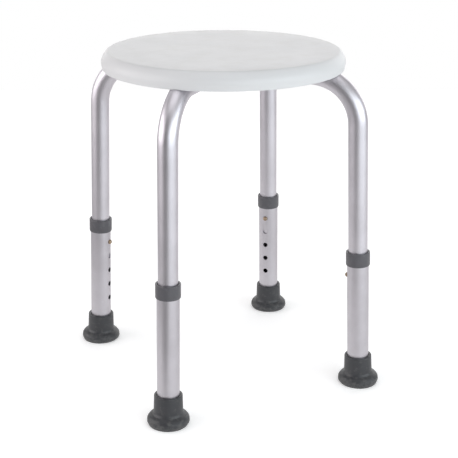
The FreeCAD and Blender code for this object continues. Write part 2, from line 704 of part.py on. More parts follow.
def make_spring(corner, yaw):
    """A strip bent into a U, drawn about the button's axis and pressed outwards by itself."""
    body = body_named(f"snap_spring_{corner}")
    sketch = sketch_in(body, "strip_outline", "XZ_Plane")
    wide, narrow = "spring_reach", "spring_reach - spring_thickness"
    top, turn = "spring_rise", "-spring_drop"
    spots = [
        ((f"-({wide})", top), (f"-({wide})", turn)),
        ((wide, turn), (wide, top)),
        ((wide, top), (narrow, top)),
        ((narrow, top), (narrow, turn)),
        ((f"-({narrow})", turn), (f"-({narrow})", top)),
        ((f"-({narrow})", top), (f"-({wide})", top)),
    ]
    for start, end in spots:
        points = [FreeCAD.Vector(size(across), size(up), 0) for across, up in (start, end)]
        sketch.addGeometry(Part.LineSegment(*points), False)
    centre = FreeCAD.Vector(0, size(turn), 0)
    normal = FreeCAD.Vector(0, 0, 1)
    for radius in (wide, narrow):
        ring = Part.Circle(centre, normal, size(radius))
        sketch.addGeometry(Part.ArcOfCircle(ring, math.pi, 2 * math.pi), False)
    # lines 0 and 1 meet the wide bend 6, and lines 3 and 4 the narrow bend 7
    meetings = [(0, 2, 6, 1), (6, 2, 1, 1), (1, 2, 2, 1), (2, 2, 3, 1)]
    meetings += [(3, 2, 7, 2), (7, 1, 4, 1), (4, 2, 5, 1), (5, 2, 0, 1)]
    for first, first_end, second, second_end in meetings:
        rule = Sketcher.Constraint("Coincident", first, first_end, second, second_end)
        sketch.addConstraint(rule)
    for number, (start, _) in enumerate(spots):
        fix_point(sketch, number, 1, *start)
    fix_point(sketch, 0, 2, *spots[0][1])
    fix_point(sketch, 3, 2, *spots[3][1])
    for number in (6, 7):
        rule = sketch.addConstraint(Sketcher.Constraint("DistanceY", -1, 1, number, 3, size(turn)))
        sketch.setExpression(f"Constraints[{rule}]", with_sheet(turn))
    add_pad(body, "strip", sketch, "spring_width", both_ways=True)
    start = "-spring_reach - overcut", "0", "0"
    hole = "neck_diameter / 2 + neck_gap"
    cut_cylinder(body, "neck_hole", hole, "spring_thickness + 2 * overcut", start, 90)
    return place_on_leg(body, yaw, "button_height")


nodes = [make_seat()]
nodes += make_seat_fixings()
nodes.append(make_bent_tube("bent_tube_lower", DIAGONALS["rear_right"], -1))
nodes.append(make_bent_tube("bent_tube_upper", DIAGONALS["front_right"], 1))
nodes += make_crossing_fixings()
LEG_MAKERS = (
    make_leg_tube,
    make_collar,
    make_foot,
    make_foot_washer,
    make_snap_button,
    make_spring,
)
for corner, yaw in DIAGONALS.items():
    nodes += [make(corner, yaw) for make in LEG_MAKERS]

doc.recompute()
for obj in doc.Objects:
    assert not {"Invalid", "Error"} & set(obj.State), f"{obj.Label} failed: {obj.State}"
for node in nodes:
    assert not node.Shape.isNull() and node.Shape.isValid(), f"{node.Label} has no valid shape"
os.makedirs("parts", exist_ok=True)
for node in nodes:
    node.Shape.exportStep(f"parts/{node.Label}.step")
    print(f"{node.Label}: {len(node.Shape.Solids)} solids, {node.Shape.Volume:.1f} mm3")
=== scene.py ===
# %% [markdown]
# # A round shower stool
# The real stool is a white moulded seat on two bent aluminium tubes that cross under it. Their
# four ends slide in wider lower legs, and a brass button snaps into a hole to hold the height.
# Dark collars and rubber feet finish the legs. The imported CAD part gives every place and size,
# and this lesson builds finer pieces around it: closed meshes, with finishes made of nodes.

import json
import math

import bmesh
import bpy
from mathutils import Matrix, Vector


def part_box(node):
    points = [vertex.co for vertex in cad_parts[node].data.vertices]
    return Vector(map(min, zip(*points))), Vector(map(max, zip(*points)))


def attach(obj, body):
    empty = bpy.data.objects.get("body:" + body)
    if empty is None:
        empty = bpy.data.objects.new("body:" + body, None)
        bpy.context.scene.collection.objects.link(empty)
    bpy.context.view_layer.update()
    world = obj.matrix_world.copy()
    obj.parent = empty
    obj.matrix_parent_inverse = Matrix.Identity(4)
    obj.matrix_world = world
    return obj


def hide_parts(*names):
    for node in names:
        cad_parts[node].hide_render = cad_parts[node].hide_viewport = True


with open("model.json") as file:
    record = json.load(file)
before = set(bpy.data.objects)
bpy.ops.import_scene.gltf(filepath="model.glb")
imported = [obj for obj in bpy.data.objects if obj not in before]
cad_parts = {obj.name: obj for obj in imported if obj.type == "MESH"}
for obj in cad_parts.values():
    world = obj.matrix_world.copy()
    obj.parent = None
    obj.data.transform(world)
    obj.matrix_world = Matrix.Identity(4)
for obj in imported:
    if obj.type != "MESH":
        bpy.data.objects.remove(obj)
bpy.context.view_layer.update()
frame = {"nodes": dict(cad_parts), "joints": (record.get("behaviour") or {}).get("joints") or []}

# %% [markdown]
# ## The viewpoint
# The camera comes first, because it decides how large each detail looks. It stands a little
# above the seat and looks down on it, so the top shows as a flat ellipse and all four feet can
# be seen. A long lens keeps the legs nearly parallel, as a catalogue picture does.

# %% Camera
CAMERA_REACH = 1.4006
CAMERA_HEIGHT = 0.6964
CAMERA_BEARING = -113.9
LOOK_DOWN = 19.62
LOOK_RIGHT = 0.295
FOCAL_LENGTH = 84.27

bearing = math.radians(CAMERA_BEARING)
camera_data = bpy.data.cameras.new("camera")
camera_data.sensor_width = 36
camera_data.lens = FOCAL_LENGTH
camera = bpy.data.objects.new("camera", camera_data)
bpy.context.scene.collection.objects.link(camera)
camera.location = (
    CAMERA_REACH * math.cos(bearing),
    CAMERA_REACH * math.sin(bearing),
    CAMERA_HEIGHT,
)
camera.rotation_euler = (
    math.radians(90 - LOOK_DOWN),
    0,
    math.radians(CAMERA_BEARING + 180 - LOOK_RIGHT - 90),
)
bpy.context.scene.camera = camera
print("camera at", [round(value, 3) for value in camera.location])

# %% [markdown]
# ## Sums on sockets
# Finishes and Geometry Nodes trees are both made of nodes. Placing each Math node by hand hides
# the idea behind it, so one small class wraps an output socket and lets Python's own signs add
# the Math nodes. A second class owns the tree and adds every other kind of node by one method.


# %% Signal and Graph
class Signal:
    """An output socket that can be used in sums. Each sum adds one Math node."""

    def __init__(self, graph, socket):
        self.graph = graph
        self.socket = socket

    def math(self, operation, *others):
        values = dict(enumerate((self,) + others))
        return self.graph.add("ShaderNodeMath", {"operation": operation}, values)

    def __add__(self, other):
        return self.math("ADD", other)

    def __sub__(self, other):
        return self.math("SUBTRACT", other)

    def __rsub__(self, other):
        return self.graph.add("ShaderNodeMath", {"operation": "SUBTRACT"}, {0: other, 1: self})

    def __mul__(self, other):
        return self.math("MULTIPLY", other)

    def __truediv__(self, other):
        return self.math("DIVIDE", other)

    __radd__ = __add__
    __rmul__ = __mul__


class Graph:
    """A node tree. add() takes a node's type, its settings, then what its sockets get."""

    def __init__(self, tree):
        self.tree = tree

    def add(self, kind, settings=None, sockets=None, take=0):
        node = self.tree.nodes.new(kind)
        for name, value in (settings or {}).items():
            setattr(node, name, value)
        for name, value in (sockets or {}).items():
            self.feed(node.inputs[name], value)
        return Signal(self, node.outputs[take]) if len(node.outputs) else node

    def feed(self, socket, value):
        if isinstance(value, Signal):
            self.tree.links.new(value.socket, socket)
        elif hasattr(socket.default_value, "__len__") and len(socket.default_value) == 4:
            socket.default_value = (*value, 1) if len(value) == 3 else value
        else:
            socket.default_value = value

    def more(self, signal, take):
        """Another output of the node that a signal comes from."""
        return Signal(self, signal.socket.node.outputs[take])

    def mix(self, factor, first, second):
        """A colour between two colours."""
        return self.add(
            "ShaderNodeMix", {"data_type": "RGBA"}, {0: factor, 6: first, 7: second}, take=2
        )

    def remap(self, value, low, high, to_low=0.0, to_high=1.0, smooth=True):
        """A value moved from one range to another, and held at its ends."""
        style = "SMOOTHSTEP" if smooth else "LINEAR"
        sockets = {0: value, 1: low, 2: high, 3: to_low, 4: to_high}
        return self.add("ShaderNodeMapRange", {"interpolation_type": style}, sockets)


# %% [markdown]
# ## Meshes from outlines
# Most pieces of a stool are turned: the seat, collars, feet and buttons are all one outline
# spun about an axis. A Screw modifier could do it, but spinning the points in Python keeps the
# poles as single closed points and gives full control of where the corners are rounded.


# %% Outline, lathe and mesh helpers
MM = 0.001
SHARP = math.radians(32)


def rounded(corners, steps=6):
    """An outline with its corners rounded. Each corner is (reach, height, radius), in mm."""
    points = []
    count = len(corners)
    for number, (across, up, radius) in enumerate(corners):
        here = Vector((across, up))
        if radius == 0:
            points.append(here)
            continue
        before = (Vector(corners[number - 1][:2]) - here).normalized()
        after = (Vector(corners[(number + 1) % count][:2]) - here).normalized()
        half = before.angle(after) / 2
        middle = here + (before + after).normalized() * (radius / math.sin(half))
        start = here + before * (radius / math.tan(half)) - middle
        end = here + after * (radius / math.tan(half)) - middle
        for step in range(steps + 1):
            arm = start.lerp(end, step / steps).normalized() * radius
            points.append(middle + arm)
    return points


def piece_from(name, points, faces):
    """A closed mesh at the origin, with its faces pointing outwards."""
    mesh = bpy.data.meshes.new(name)
    mesh.from_pydata([tuple(point) for point in points], [], faces)
    work = bmesh.new()
    work.from_mesh(mesh)
    bmesh.ops.remove_doubles(work, verts=work.verts, dist=1e-7)
    bmesh.ops.recalc_face_normals(work, faces=work.faces)
    work.to_mesh(mesh)
    work.free()
    piece = bpy.data.objects.new(name, mesh)
    bpy.context.scene.collection.objects.link(piece)
    return piece


def turned(name, outline, matrix, steps=96):
    """Spin a closed outline, in mm, about its height axis, then put it in place."""
    points = []
    rows = []
    for reach, height in outline:
        if abs(reach) < 1e-9:
            rows.append([len(points)] * steps)
            points.append(matrix @ Vector((0, 0, height * MM)))
            continue
        rows.append(list(range(len(points), len(points) + steps)))
        for step in range(steps):
            angle = math.tau * step / steps
            spot = Vector((math.cos(angle) * reach, math.sin(angle) * reach, height)) * MM
            points.append(matrix @ spot)
    faces = []
    for low, high in zip(rows, rows[1:] + rows[:1]):
        for step in range(steps):
            after = (step + 1) % steps
            corners = [low[step], low[after], high[after], high[step]]
            corners = list(dict.fromkeys(corners))
            if len(corners) > 2:
                faces.append(corners)
    return piece_from(name, points, faces)


def plain(piece):
    """Bake a piece's modifiers into its mesh and take them off."""
    bpy.context.view_layer.update()
    evaluated = piece.evaluated_get(bpy.context.evaluated_depsgraph_get())
    mesh = bpy.data.meshes.new_from_object(evaluated)
    piece.modifiers.clear()
    piece.data = mesh
    return piece


def shape_with(piece, tool, operation):
    """Join a tool to a piece or cut it out, as closed solids, and throw the tool away."""
    boolean = piece.modifiers.new("shape", "BOOLEAN")
    boolean.operation = operation
    boolean.solver = "EXACT"
    boolean.object = tool
    plain(piece)
    bpy.data.objects.remove(tool)
    return piece


def ease(piece, width, segments=2):
    """Round off a piece's sharp edges, as any mould or file does."""
    bevel = piece.modifiers.new("ease", "BEVEL")
    bevel.width = width * MM
    bevel.segments = segments
    bevel.limit_method = "ANGLE"
    return plain(piece)


def smooth(piece):
    piece.data.shade_smooth()
    piece.data.set_sharp_from_angle(angle=SHARP)
    return piece


def true_round(piece, matrix, limit=0.5):
    """Shade the walls of a straight tube as exactly round, also beside the holes cut in it."""
    mesh = piece.data
    turn = matrix.to_3x3()
    back = matrix.inverted()
    normals = [corner.vector.copy() for corner in mesh.corner_normals]
    for face in mesh.polygons:
        for loop in face.loop_indices:
            spot = back @ mesh.vertices[mesh.loops[loop].vertex_index].co
            away = turn @ Vector((spot.x, spot.y, 0)).normalized()
            facing = away.dot(face.normal)
            if abs(facing) > 1 - limit * limit / 2:
                normals[loop] = away if facing > 0 else -away
    mesh.normals_split_custom_set(normals)


def dress(piece, body, finish, slot, *nodes):
    """Give a finished piece its finish, its body, and the CAD nodes it stands for."""
    piece.data.materials.clear()
    piece.data.materials.append(finish)
    piece.data.polygons.foreach_set("material_index", [0] * len(piece.data.polygons))
    smooth(piece)
    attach(piece, body)
    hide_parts(*nodes)
    print(f"{piece.name}: {len(piece.data.polygons)} faces, rides on {body}")
    return piece


# %% [markdown]
# ## The leg frames
# Each leg leans out by a couple of degrees, so its pieces are easiest to draw upright, about
# their own axis, and then tilted into place. The joints in the record already hold the two
# directions that are needed: a leg slides along its axis, and its button presses outwards.

# %% Where each leg stands
CORNERS = ("front_left", "front_right", "rear_right", "rear_left")
joints = {joint["name"]: joint for joint in frame["joints"]}


def leg_matrix(corner):
    up = Vector(joints[f"leg_slide_{corner}"]["axis"]).normalized()
    out = Vector(joints[f"button_press_{corner}"]["axis"]).normalized()
    side = up.cross(out)
    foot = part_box(f"foot_{corner}")
    turn = Matrix((out, side, up)).transposed().to_4x4()
    middle = sum(foot, Vector()) / 2
    axis_spot = Vector((middle.x, middle.y, 0))
    return Matrix.Translation(axis_spot) @ turn


def along_leg(node, corner):
    """Lowest and highest place on the leg's axis, and the least and most reach from it, mm."""
    back = legs[corner].inverted()
    spots = [back @ vertex.co for vertex in frame["nodes"][node].data.vertices]
    reaches = [spot.xy.length / MM for spot in spots]
    heights = [spot.z / MM for spot in spots]
    return min(heights), max(heights), min(reaches), max(reaches)


legs = {corner: leg_matrix(corner) for corner in CORNERS}
leg_low, leg_high, leg_bore, leg_reach = along_leg("leg_tube_front_left", "front_left")
collar_low, collar_high, collar_bore, collar_reach = along_leg(
    "leg_collar_front_left", "front_left"
)
button_low, button_high, _, button_tip = along_leg("snap_button_front_left", "front_left")
button_at = (button_low + button_high) / 2
button_radius = (button_high - button_low) / 2
print(f"leg tube {leg_low:.1f} to {leg_high:.1f} mm up the leg, radius {leg_reach:.2f}")
print(f"button {button_at:.1f} mm up the leg, {button_tip - leg_reach:.2f} mm proud")

# %% [markdown]
# ## A tree that repeats a piece
# Spokes stand in a ring and the setting holes in a row. Both are one small solid copied at even
# steps, so one Geometry Nodes tree does both: it puts points at even steps, turns each copy by
# its number, and places the solid on every point. An Array modifier would need a helper object
# for the ring and another set-up for the row.


# %% The repeating tree
class Plan(Graph):
    """A Geometry Nodes tree whose inputs have names."""

    def __init__(self, name, inputs):
        super().__init__(bpy.data.node_groups.new(name, "GeometryNodeTree"))
        ports = self.tree.interface
        ports.new_socket("Geometry", in_out="OUTPUT", socket_type="NodeSocketGeometry")
        self.keys = {}
        for title, kind in inputs.items():
            port = ports.new_socket(title, in_out="INPUT", socket_type=f"NodeSocket{kind}")
            self.keys[title] = port.identifier
        self.source = self.tree.nodes.new("NodeGroupInput")

    def given(self, title):
        return Signal(self, self.source.outputs[title])

    def end(self, geometry, finish):
        """Turn copies into real mesh, give them their finish and send them out."""
        whole = self.add("GeometryNodeRealizeInstances", {}, {0: geometry})
        painted = self.add("GeometryNodeSetMaterial", {}, {"Geometry": whole, "Material": finish})
        self.add("NodeGroupOutput", {}, {0: painted})

    def run(self, name, **values):
        """Make a plain mesh object with the tree's inputs set to these values."""
        piece = bpy.data.objects.new(name, bpy.data.meshes.new(name))
        bpy.context.scene.collection.objects.link(piece)
        modifier = piece.modifiers.new("plan", "NODES")
        modifier.node_group = self.tree
        for title, value in values.items():
            modifier[self.keys[title.replace("_", " ")]] = value
        return plain(piece)


repeat = Plan(
    "repeat_evenly",
    {
        "Piece": "Object",
        "Count": "Int",
        "Step": "Vector",
        "Turn": "Float",
        "First Turn": "Float",
        "Finish": "Material",
    },
)
number = repeat.add("GeometryNodeInputIndex")
spot = repeat.add(
    "ShaderNodeVectorMath", {"operation": "SCALE"}, {0: repeat.given("Step"), "Scale": number}
)
points = repeat.add("GeometryNodePoints", {}, {"Count": repeat.given("Count"), "Position": spot})
angle = number * repeat.given("Turn") + repeat.given("First Turn")
turn = repeat.add("ShaderNodeCombineXYZ", {}, {"Z": angle})
model = repeat.add("GeometryNodeObjectInfo", {}, {"Object": repeat.given("Piece")}, take="Geometry")
copies = repeat.add(
    "GeometryNodeInstanceOnPoints", {}, {"Points": points, "Instance": model, "Rotation": turn}
)
repeat.end(copies, repeat.given("Finish"))


def repeated(name, piece, count, step=(0, 0, 0), turn=0.0, first_turn=0.0):
    """Copies of a piece, which itself is thrown away."""
    made = repeat.run(
        name, Piece=piece, Count=count, Step=step, Turn=turn, First_Turn=first_turn
    )
    bpy.data.objects.remove(piece)
    print(f"{name}: {count} copies, {len(made.data.polygons)} faces")
    return made


# %% [markdown]
# ## A tree that draws a tube along a line
# A bent tube is a circle carried along a path, which is what Curve to Mesh does. Where the two
# tubes cross, the maker pressed each one flat, so the tree then squeezes that stretch and lets
# it widen. It also stores where each point lies round and along the tube, as two UV maps, for
# the drawing lines of the metal: a map holds the sine and cosine of the angle, so no seam shows.

# %% The tube tree
tube_plan = Plan(
    "tube_along_line",
    {
        "Line": "Object",
        "Radius": "Float",
        "Sides": "Int",
        "Wide": "Float",
        "Tall": "Float",
        "Run Height": "Float",
        "Offset": "Float",
        "Flat Reach": "Float",
        "Round Reach": "Float",
        "Finish": "Material",
    },
)
line = tube_plan.add(
    "GeometryNodeObjectInfo", {}, {"Object": tube_plan.given("Line")}, take="Geometry"
)
length = tube_plan.add("GeometryNodeSplineParameter", take="Length")


def captured(plan, geometry, value, kind):
    """Note a value on a geometry's points, so that later nodes can still read it."""
    node = plan.tree.nodes.new("GeometryNodeCaptureAttribute")
    node.capture_items.new(kind, "kept")
    plan.feed(node.inputs[0], geometry)
    plan.feed(node.inputs[1], value)
    return Signal(plan, node.outputs[0]), Signal(plan, node.outputs[1])


line, along = captured(tube_plan, line, length, "FLOAT")
ring = tube_plan.add(
    "GeometryNodeCurvePrimitiveCircle",
    {"mode": "RADIUS"},
    {"Resolution": tube_plan.given("Sides"), "Radius": tube_plan.given("Radius")},
)
ring_spot = tube_plan.add("GeometryNodeInputPosition")
ring, around = captured(tube_plan, ring, ring_spot, "VECTOR")
skin = tube_plan.add(
    "GeometryNodeCurveToMesh", {}, {"Curve": line, "Profile Curve": ring, "Fill Caps": True}
)
place = tube_plan.add("GeometryNodeInputPosition")
across = tube_plan.add("ShaderNodeSeparateXYZ", {}, {0: place})
side = tube_plan.more(across, "Y")
height = tube_plan.more(across, "Z")
reach = across.math("ABSOLUTE")
flat = 1 - tube_plan.remap(reach, tube_plan.given("Flat Reach"), tube_plan.given("Round Reach"))
radius = tube_plan.given("Radius")
run_height = tube_plan.given("Run Height")
widen = 1 + flat * (tube_plan.given("Wide") / radius - 1)
press = 1 + flat * (tube_plan.given("Tall") / radius - 1)
new_height = run_height + flat * tube_plan.given("Offset") + (height - run_height) * press
in_run = reach.math("LESS_THAN", tube_plan.given("Round Reach"))
pressed = tube_plan.add("ShaderNodeCombineXYZ", {}, {0: across, 1: side * widen, 2: new_height})
skin = tube_plan.add(
    "GeometryNodeSetPosition", {}, {"Geometry": skin, "Selection": in_run, "Position": pressed}
)
around = tube_plan.add(
    "ShaderNodeVectorMath", {"operation": "NORMALIZE"}, {0: around}
)
along = tube_plan.add("ShaderNodeCombineXYZ", {}, {0: along})
for title, value in (("round_tube", around), ("along_tube", along)):
    skin = tube_plan.add(
        "GeometryNodeStoreNamedAttribute",
        {"data_type": "FLOAT2", "domain": "CORNER"},
        {"Geometry": skin, "Name": title, "Value": value},
    )
tube_plan.end(skin, tube_plan.given("Finish"))


def line_object(spots):
    """A line through spots given in mm."""
    data = bpy.data.curves.new("line", "CURVE")
    data.dimensions = "3D"
    spline = data.splines.new("POLY")
    spline.points.add(len(spots) - 1)
    for point, spot in zip(spline.points, spots):
        point.co = (*(Vector(spot) * MM), 1)
    drawn = bpy.data.objects.new("line", data)
    bpy.context.scene.collection.objects.link(drawn)
    return drawn


def tube_skin(name, spots, radius, matrix, wide=None, tall=None, offset=0.0, sides=96):
    """A solid rod along a line, flattened in the middle of its level run, if sizes are given."""
    drawn = line_object(spots)
    made = tube_plan.run(
        name,
        Line=drawn,
        Radius=radius * MM,
        Sides=sides,
        Wide=(wide or radius) * MM,
        Tall=(tall or radius) * MM,
        Run_Height=run_axis * MM,
        Offset=offset * MM,
        Flat_Reach=FLAT_REACH * MM,
        Round_Reach=ROUND_REACH * MM,
    )
    made.data.transform(matrix)
    bpy.data.objects.remove(drawn)
    return made


# %% [markdown]
# ## The bent tubes
# One tube is one leg, a bend, the level run, a second bend and the other leg. Its line is drawn
# once, in its own upright plane, and turned onto each diagonal. The outside and the bore are two
# solids, and the tube is what is left when the bore and the holes are cut from the outside, so
# the walls are real and the open ends can be looked into.

# %% Bent tubes
BEND_RADIUS = 62
FLAT_REACH = 24
ROUND_REACH = 55
FLAT_HALF_WIDTH = 17.7
FLAT_HALF_HEIGHT = 6.2
CROSS_GAP = 0.3
SCREW_REACH = 92
SCREW_HOLE = 3.3
ACCESS_HOLE = 6.8
BUTTON_HOLE = 3.6
TUBE_PIECES = {
    "bent_tube_lower": ("rear_right", "front_left", -1),
    "bent_tube_upper": ("front_right", "rear_left", 1),
}

tube_end, _, tube_bore, _ = along_leg("bent_tube_lower", "front_left")
tube_radius = 12.7
run_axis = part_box("bent_tube_lower")[1].z / MM - tube_radius
lean = math.acos(legs["front_left"].col[2].z)
foot_reach = legs["front_left"].translation.xy.length / MM
bend_height = run_axis - BEND_RADIUS
bend_foot = (bend_height + BEND_RADIUS * math.sin(lean)) / math.cos(lean)
bend_reach = foot_reach - bend_foot * math.sin(lean) - BEND_RADIUS * math.cos(lean)


def spaced(start, end, gap):
    """Even spots from start towards end, without end, about a gap apart."""
    start, end = Vector(start), Vector(end)
    count = max(1, round((end - start).length / gap))
    return [start.lerp(end, step / count) for step in range(count)]


def tube_line(extra=0.0):
    """The line of a bent tube, from one end to the other, in mm."""
    bend_steps = 28
    quarter = math.pi / 2 - lean
    end = tube_end - extra
    low = Vector((foot_reach - end * math.sin(lean), 0, end * math.cos(lean)))
    bend = []
    for step in range(bend_steps + 1):
        angle = lean + quarter * step / bend_steps
        arm = Vector((math.cos(angle), 0, math.sin(angle))) * BEND_RADIUS
        bend.append(Vector((bend_reach, 0, bend_height)) + arm)
    half = spaced(low, bend[0], 6) + bend[:-1] + spaced(bend[-1], (0, 0, run_axis), 3)
    mirrored = [Vector((-spot.x, 0, spot.z)) for spot in reversed(half)]
    return half + [Vector((0, 0, run_axis))] + mirrored


def rod(name, radius, length, matrix, sides=48):
    """A plain round solid along the third axis of a matrix, from its origin. Sizes in mm."""
    return turned(name, [(0, 0), (radius, 0), (radius, length), (0, length)], matrix, sides)


def upright(corner, reach, height):
    """A spot on a diagonal, with the third axis pointing up."""
    out = legs[corner].col[0].xy.normalized()
    spot = Vector((out.x * reach, out.y * reach, height)) * MM
    turn = Matrix((Vector((out.x, out.y, 0)), Vector((-out.y, out.x, 0)), Vector((0, 0, 1))))
    return Matrix.Translation(spot) @ turn.transposed().to_4x4()


def from_leg(corner, height, start):
    """On a leg, with the third axis pointing outwards across it. Sizes in mm."""
    leg = legs[corner].to_3x3()
    spot = legs[corner] @ (Vector((start, 0, height)) * MM)
    turn = Matrix((leg.col[1], leg.col[2], leg.col[0])).transposed().to_4x4()
    return Matrix.Translation(spot) @ turn


def bent_tube(node, far_corner, near_corner, level):
    matrix = upright(far_corner, 0, 0)
    shift = level * (FLAT_HALF_HEIGHT + CROSS_GAP / 2)
    wall = tube_radius - tube_bore
    tube = tube_skin(
        f"{node}_skin", tube_line(), tube_radius, matrix, FLAT_HALF_WIDTH, FLAT_HALF_HEIGHT, shift
    )
    bore = tube_skin(
        "bore",
        tube_line(wall),
        tube_bore,
        matrix,
        FLAT_HALF_WIDTH - wall,
        FLAT_HALF_HEIGHT - wall,
        shift,
    )
    shape_with(tube, bore, "DIFFERENCE")
    start = upright(far_corner, -SCREW_REACH, run_axis - tube_radius - 2)
    screw_hole = rod("screw_hole", SCREW_HOLE, 2 * tube_radius + 4, Matrix())
    row = repeated("screw_holes", screw_hole, 3, step=(SCREW_REACH * MM, 0, 0))
    row.data.transform(start)
    shape_with(tube, row, "DIFFERENCE")
    access = rod("access_hole", ACCESS_HOLE, tube_radius + 2, Matrix())
    row = repeated("access_holes", access, 2, step=(2 * SCREW_REACH * MM, 0, 0))
    row.data.transform(start)
    shape_with(tube, row, "DIFFERENCE")
    for corner in (far_corner, near_corner):
        matrix = from_leg(corner, button_at, -2 * tube_radius)
        hole = rod("button_hole", BUTTON_HOLE, 2 * tube_radius, matrix)
        shape_with(tube, hole, "DIFFERENCE")
    return tube


bent_tubes = {node: bent_tube(node, *facts) for node, facts in TUBE_PIECES.items()}
print(f"tube radius {tube_radius}, bore {tube_bore:.2f}, run axis at {run_axis:.1f} mm")

# %% [markdown]
# ## The lower legs
# A lower leg is a straight, wider tube with a row of five holes for the button. The same tree
# draws its outside and its bore, and the row of holes is one rod repeated at even steps.

# %% Leg tubes
HOLE_COUNT = 5
HOLE_PITCH = 22
ROD_TURN = Matrix.Rotation(math.pi / 2, 4, "Y")


def leg_tube(corner):
    matrix = legs[corner] @ Matrix.Rotation(math.pi / 2, 4, "Z")
    top = Vector((0, 0, leg_high))
    line = spaced((0, 0, leg_low), top, 4) + [top]
    tube = tube_skin(f"lower_leg_{corner}", line, leg_reach, matrix)
    longer = [Vector((0, 0, leg_low - 2))] + line[1:-1] + [Vector((0, 0, leg_high + 2))]
    bore = tube_skin("bore", longer, leg_bore, matrix)
    shape_with(tube, bore, "DIFFERENCE")
    rod_length = leg_reach * 1.5
    hole = rod("setting_hole", BUTTON_HOLE, rod_length, ROD_TURN)
    row = repeated("setting_holes", hole, HOLE_COUNT, step=(0, 0, -HOLE_PITCH * MM))
    start = Matrix.Translation((-rod_length * MM, 0, button_at * MM))
    row.data.transform(legs[corner] @ start)
    return shape_with(tube, row, "DIFFERENCE")


leg_tubes = {corner: leg_tube(corner) for corner in CORNERS}

# %% [markdown]
# ## The seat
# The seat is one moulding: a flat top that rolls over a soft shoulder into the rim, with a shallow
# dip part of the way round the shoulder, and ribs underneath. The outline is spun, and the ribs,
# ring ribs and saddles are joined to it as solids, as the mould would do. Channels for the tubes
# are then cut with the tube's own line, a quarter of a millimetre larger.

# %% Seat
SEAT_STEPS = 288
SHOULDER_REACH = 10
SHOULDER_DROP = 15
CREASE_DEPTH = 0.9
CREASE_WIDTH = 0.5
CREASE_PLACE = 0.74
PLATE = 4.5
RIM_WALL = 4.5
RIM_TAPER = 1.4
RIB_WIDTH = 2.6
RIB_DEPTH = 7.4
RING_RIBS = (30, 66, 118)
SADDLE_LENGTH = 24
SADDLE_WIDTH = 35
SADDLE_GRIP = 4
CHANNEL_GAP = 0.25
INSERT_BORE = 4.55

seat_low, seat_high = (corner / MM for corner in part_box("seat"))
seat_radius = seat_high.x
seat_top = seat_high.z
rim_foot = seat_low.z
plate_under = seat_top - PLATE


def seat_outline():
    outline = [Vector((0, seat_top)), Vector((60, seat_top)), Vector((120, seat_top))]
    steps = 30
    for step in range(steps + 1):
        turn = math.pi / 2 * step / steps
        crease = CREASE_DEPTH * math.exp(-(((turn - CREASE_PLACE) / CREASE_WIDTH) ** 2))
        across = seat_radius - SHOULDER_REACH + (SHOULDER_REACH - crease) * math.sin(turn)
        up = seat_top - SHOULDER_DROP + (SHOULDER_DROP - crease) * math.cos(turn)
        outline.append(Vector((across, up)))
    foot = seat_radius - RIM_TAPER
    inside = foot - RIM_WALL
    corners = [
        (foot, rim_foot, 1.4),
        (inside, rim_foot, 1.1),
        (inside, plate_under, 5),
        (110, plate_under, 0),
    ]
    lower = rounded([(*outline[-1], 0)] + corners)
    return outline + lower[1:] + [Vector((0, plate_under))]


def box_piece(name, low, high, draft=0.0):
    """A straight block. Its lower end is narrower by the draft on each side, as moulded."""
    points = []
    for height, less in ((low[2], draft), (high[2], 0)):
        for across, side in ((0, 0), (1, 0), (1, 1), (0, 1)):
            x = high[0] - less if across else low[0] + less
            y = high[1] - less if side else low[1] + less
            points.append(Vector((x, y, height)) * MM)
    faces = [(0, 1, 2, 3), (4, 5, 6, 7), (0, 1, 5, 4), (1, 2, 6, 5), (2, 3, 7, 6), (3, 0, 4, 7)]
    return piece_from(name, points, faces)


def make_seat():
    seat = turned("seat_moulding", seat_outline(), Matrix(), SEAT_STEPS)
    root = plate_under + 1
    foot = plate_under - RIB_DEPTH
    for number, reach in enumerate(RING_RIBS):
        half = RIB_WIDTH / 2
        corners = [
            (reach - half, root, 0),
            (reach - half + 0.3, foot, 0.5),
            (reach + half - 0.3, foot, 0.5),
            (reach + half, root, 0),
        ]
        ring_rib = turned(f"ring_rib_{number}", rounded(corners, 3), Matrix(), SEAT_STEPS)
        shape_with(seat, ring_rib, "UNION")
    inside = seat_radius - RIM_TAPER - RIM_WALL
    half = RIB_WIDTH / 2
    spoke = box_piece("spoke", (RING_RIBS[0], -half, foot), (inside + 1.5, half, root), 0.3)
    spokes = repeated("spokes", spoke, 12, turn=math.tau / 12)
    shape_with(seat, spokes, "UNION")
    near = SCREW_REACH - SADDLE_LENGTH / 2
    far = SCREW_REACH + SADDLE_LENGTH / 2
    side = SADDLE_WIDTH / 2
    saddle = box_piece("saddle", (near, -side, run_axis + SADDLE_GRIP), (far, side, root), 0.2)
    ease(saddle, 0.8)
    saddles = repeated("saddles", saddle, 4, turn=math.tau / 4, first_turn=math.pi / 4)
    shape_with(seat, saddles, "UNION")
    for far_corner, _, _ in TUBE_PIECES.values():
        matrix = upright(far_corner, 0, 0)
        channel = tube_skin("channel", tube_line(), tube_radius + CHANNEL_GAP, matrix)
        shape_with(seat, channel, "DIFFERENCE")
    bore = rod("insert_bore", INSERT_BORE, plate_under - run_axis, Matrix())
    bore.data.transform(Matrix.Translation(Vector((SCREW_REACH, 0, run_axis)) * MM))
    bores = repeated("insert_bores", bore, 4, turn=math.tau / 4, first_turn=math.pi / 4)
    return shape_with(seat, bores, "DIFFERENCE")


seat = make_seat()
print(f"seat {2 * seat_radius:.0f} mm across, top at {seat_top:.0f} mm")

# %% [markdown]
# ## Collars and feet
# The collar is a nylon ring pushed over the top of the lower leg. Its lip closes on the upper
# tube with a small lead-in, and that shows as a thin dark line round the tube. The foot is a
# rubber boot: a straight sleeve, a waist, and a thick rounded flange that stands on the floor.

# %% Collars and feet
COLLAR_STEPS = 96


